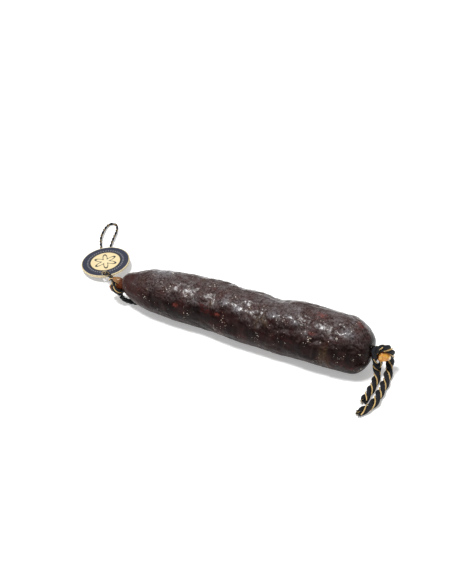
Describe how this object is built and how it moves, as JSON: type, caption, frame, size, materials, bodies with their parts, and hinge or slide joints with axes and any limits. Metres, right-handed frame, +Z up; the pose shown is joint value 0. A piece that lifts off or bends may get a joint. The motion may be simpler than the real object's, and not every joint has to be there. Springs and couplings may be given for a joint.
{
  "type": "blood sausage",
  "caption": "Cured blood sausage lying on its belly, tapered at one end, both ends tied with twisted cord, with a round card tag on its hanging loop.",
  "frame": {"origin": "on the surface it rests on, at the middle of the tied sausage's length and width, tag and loose cords left out", "axes": "+X along the sausage towards its blunt end, +Y to its far side where the tag lies, +Z up"},
  "size_m": [0.3015, 0.1529, 0.0458],
  "materials": {
    "casing": "greasy semi-gloss natural casing over dark filling, with fine wrinkles",
    "dried_casing": "glossy translucent amber, empty dried casing beyond each tie",
    "cord": "matt navy-black twisted cotton",
    "gold_thread": "shiny lurex thread laid in the grooves of the cord",
    "tag_card": "printed satin card, cream core and rim"
  },
  "bodies": {
    "root": {"sausage": "casing", "upper_tie": "cord", "upper_tail": "cord", "tag": "tag_card", "tag_string": "cord", "lower_tie": "cord", "lower_tail_long": "cord", "lower_tail_short": "cord"}
  },
  "joints": []
}
